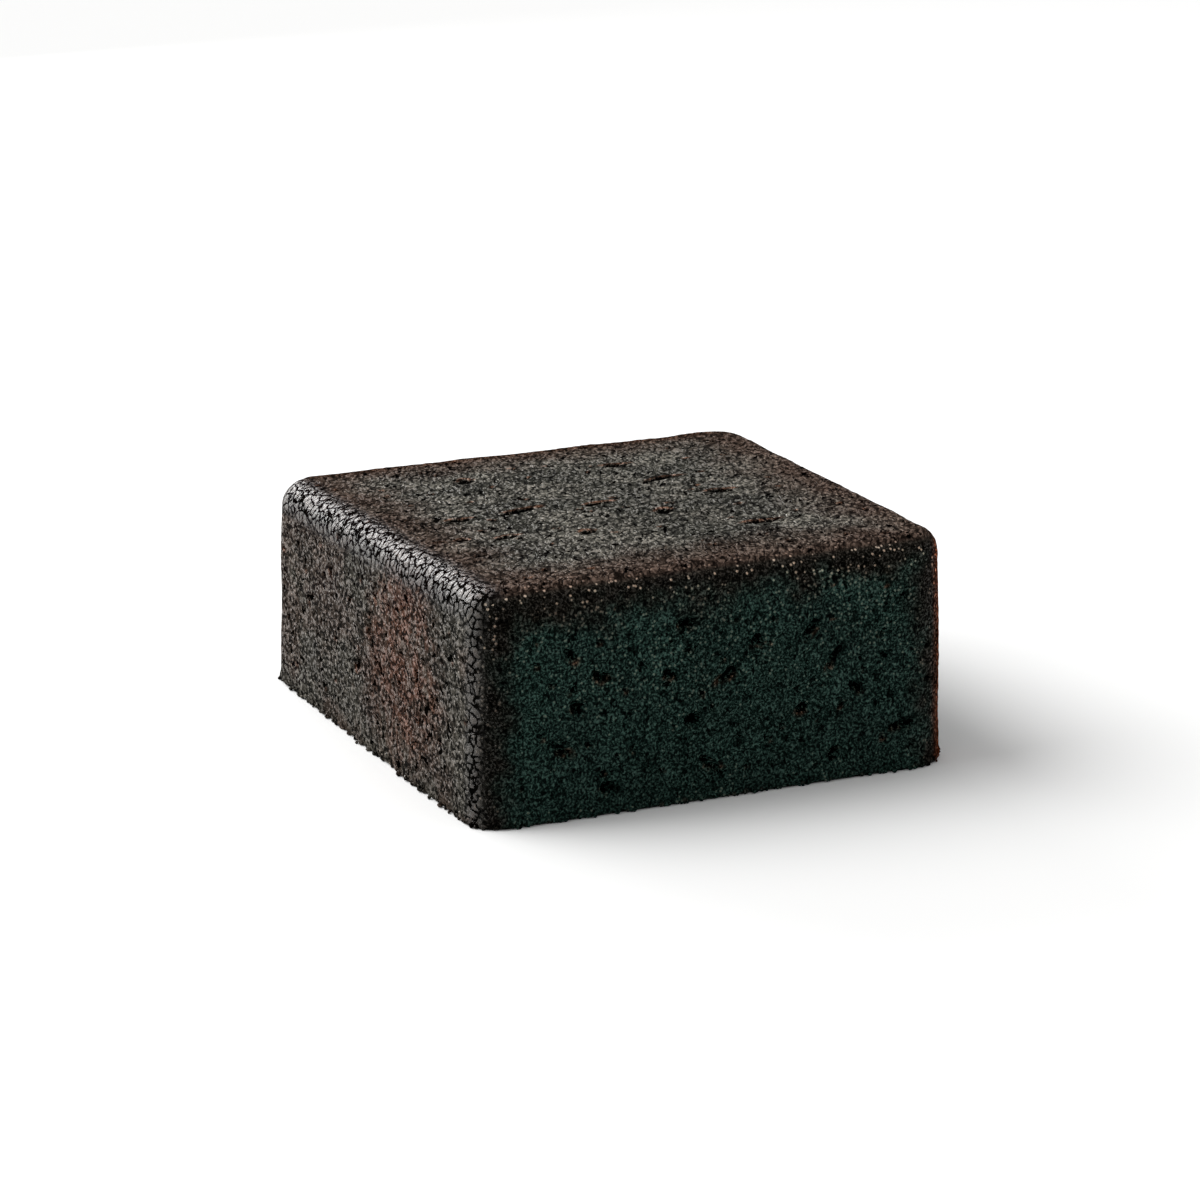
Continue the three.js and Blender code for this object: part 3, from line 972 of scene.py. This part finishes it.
class MUDCAKE_OT_crumbs(bpy.types.Operator):
    """Scatter small crumbs along the foot of the cake, each with the crust's colour beside it"""

    bl_idname = "mud_cake.add_crumbs"
    bl_label = "Add crumbs"

    def execute(self, context):
        crust = bpy.data.objects.get("cake_crust")
        if crust is None:
            raise RuntimeError("the crumbs lie along the cake, so the cake comes first")
        piece = scatter_crumbs(crust)
        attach(piece, "root")
        return {"FINISHED"}


def add_crumb():
    """One lumpy crumb, a millimetre across, about the origin."""
    deselect()
    bpy.ops.mesh.primitive_ico_sphere_add(subdivisions=2, radius=0.5 * MM, location=(0, 0, 0))
    crumb = bpy.context.active_object
    displace(crumb, cloud_texture("crumb", CRUMB_UNEVEN), CRUMB_UNEVEN)
    return crumb


def scatter_crumbs(crust):
    """Copies of one crumb, turned and sized at random, joined in one mesh."""
    look = settings().crust
    crumb = add_crumb()
    form = points_of(crumb.data)
    faces = np.array([tuple(face.vertices) for face in crumb.data.polygons])
    deselect()
    bpy.data.objects.remove(crumb)

    points, normals = points_of(crust.data), normals_of(crust.data)
    height = points[:, 2]
    foot = np.flatnonzero((height > FOOT[0]) & (height < FOOT[1]) & (np.abs(normals[:, 2]) < ON_SIDE))
    draw = np.random.default_rng(settings().seed)
    hosts = draw.choice(foot, look.crumbs, replace=False)
    placed = []
    for host in hosts:
        turn = np.array(Euler(draw.uniform(0, 2 * math.pi, 3)).to_matrix())
        turned = form @ turn.T * (look.crumb / MM) * draw.uniform(*CRUMB_SIZES)
        place = points[host] + normals[host] * [1, 1, 0] * draw.uniform(*CRUMB_GAP) * MM
        place[2] = -turned[:, 2].min()
        placed.append(turned + place)
    mesh = bpy.data.meshes.new("crumbs")
    shifted = [faces + len(form) * i for i in range(len(placed))]
    mesh.from_pydata(np.concatenate(placed).tolist(), [], np.concatenate(shifted).tolist())
    for name in CRUST_MARKS:
        values = np.empty(len(points), np.float32)
        crust.data.attributes[name].data.foreach_get("value", values)
        store(mesh, name, np.repeat(values[hosts], len(form)))
    piece = bpy.data.objects.new("crumbs", mesh)
    bpy.context.scene.collection.objects.link(piece)
    make_active(piece)
    bpy.ops.object.shade_smooth()
    mesh.materials.append(crust.data.materials[0])
    return piece


# ---------------------------------------------------------------- the stage

FLOOR_SIZE = 16
FLOOR_ROUGHNESS = 0.9
FLOOR_SPECULAR = 0.1
SUN_SPREAD = math.radians(50)
SUN_HEADING = (0.62, -0.4, -0.75)
BACK_LIGHT = {"place": (-0.28, 1.3, 0.47), "size": (1.0, 0.66)}
SIDE_LIGHT = {"place": (-1.15, 0.24, 0.27), "size": (0.3, 0.3)}
LIGHTS_AIM = (0, 0, 0.03)
SENSOR_WIDTH = 36  # mm


class MUDCAKE_OT_stage(bpy.types.Operator):
    """Set the pale floor, the soft light and the camera"""

    bl_idname = "mud_cake.add_stage"
    bl_label = "Add stage"

    def execute(self, context):
        stage = settings().stage
        add_floor(stage.floor)
        add_main_light(stage.sun)
        add_softbox("back_light", power=stage.rim, **BACK_LIGHT)
        add_softbox("side_light", power=stage.side, **SIDE_LIGHT)
        add_room_light(stage.room)
        add_camera(stage)
        return {"FINISHED"}


def add_floor(tint):
    deselect()
    bpy.ops.mesh.primitive_plane_add(size=FLOOR_SIZE, location=(0, 0, 0))
    floor = bpy.context.active_object
    floor.name = "floor"
    material = bpy.data.materials.new("pale_floor")
    material.use_nodes = True
    shader = material.node_tree.nodes["Principled BSDF"]
    shader.inputs["Base Color"].default_value = (*tint, 1.0)
    shader.inputs["Roughness"].default_value = FLOOR_ROUGHNESS
    shader.inputs["Specular IOR Level"].default_value = FLOOR_SPECULAR
    floor.data.materials.append(material)


def add_light(name, kind, power, towards):
    lamp = bpy.data.lights.new(name, kind)
    lamp.energy = power
    light = bpy.data.objects.new(name, lamp)
    bpy.context.scene.collection.objects.link(light)
    light.rotation_euler = towards.to_track_quat("-Z", "Y").to_euler()
    return light


def add_main_light(strength):
    """A broad, soft light from behind and to the left, even over the whole floor."""
    light = add_light("main_light", "SUN", strength, Vector(SUN_HEADING))
    light.data.angle = SUN_SPREAD


def add_softbox(name, place, size, power):
    """A flat, rectangular light that faces the cake."""
    light = add_light(name, "AREA", power, Vector(LIGHTS_AIM) - Vector(place))
    light.location = place
    light.data.shape = "RECTANGLE"
    light.data.size, light.data.size_y = size


def add_room_light(strength):
    world = bpy.data.worlds.new("soft_room")
    world.use_nodes = True
    background = world.node_tree.nodes["Background"]
    background.inputs["Color"].default_value = (1, 1, 1, 1)
    background.inputs["Strength"].default_value = strength
    bpy.context.scene.world = world


def add_camera(stage):
    data = bpy.data.cameras.new("camera")
    data.lens = stage.lens
    data.sensor_width = SENSOR_WIDTH
    camera = bpy.data.objects.new("camera", data)
    bpy.context.scene.collection.objects.link(camera)
    camera.location = block_middle() + Vector(stage.camera)
    camera.rotation_euler = (math.pi / 2 - stage.pitch, 0, stage.heading)
    bpy.context.scene.camera = camera
    bpy.context.scene.view_settings.view_transform = "Standard"


# ---------------------------------------------------------------- the add-on

class MUDCAKE_PT_panel(bpy.types.Panel):
    """Mud cake tools"""

    bl_idname = "MUDCAKE_PT_panel"
    bl_label = "Mud cake"
    bl_space_type = "VIEW_3D"
    bl_region_type = "UI"
    bl_category = "Mud cake"

    def draw(self, context):
        for operator in OPERATORS:
            self.layout.operator(operator.bl_idname)


GROUPS = (MudCakeShape, MudCakeCrust, MudCakeStage, MudCakeSettings)
OPERATORS = (MUDCAKE_OT_cake, MUDCAKE_OT_crumbs, MUDCAKE_OT_stage)


def register():
    for cls in (*GROUPS, *OPERATORS, MUDCAKE_PT_panel):
        bpy.utils.register_class(cls)
    bpy.types.Scene.mud_cake = PointerProperty(type=MudCakeSettings)


def unregister():
    del bpy.types.Scene.mud_cake
    for cls in (MUDCAKE_PT_panel, *reversed(OPERATORS), *reversed(GROUPS)):
        bpy.utils.unregister_class(cls)


def main():
    register()
    bpy.ops.mud_cake.add_cake()
    bpy.ops.mud_cake.add_crumbs()
    bpy.ops.mud_cake.add_stage()


if __name__ == "__main__":
    main()
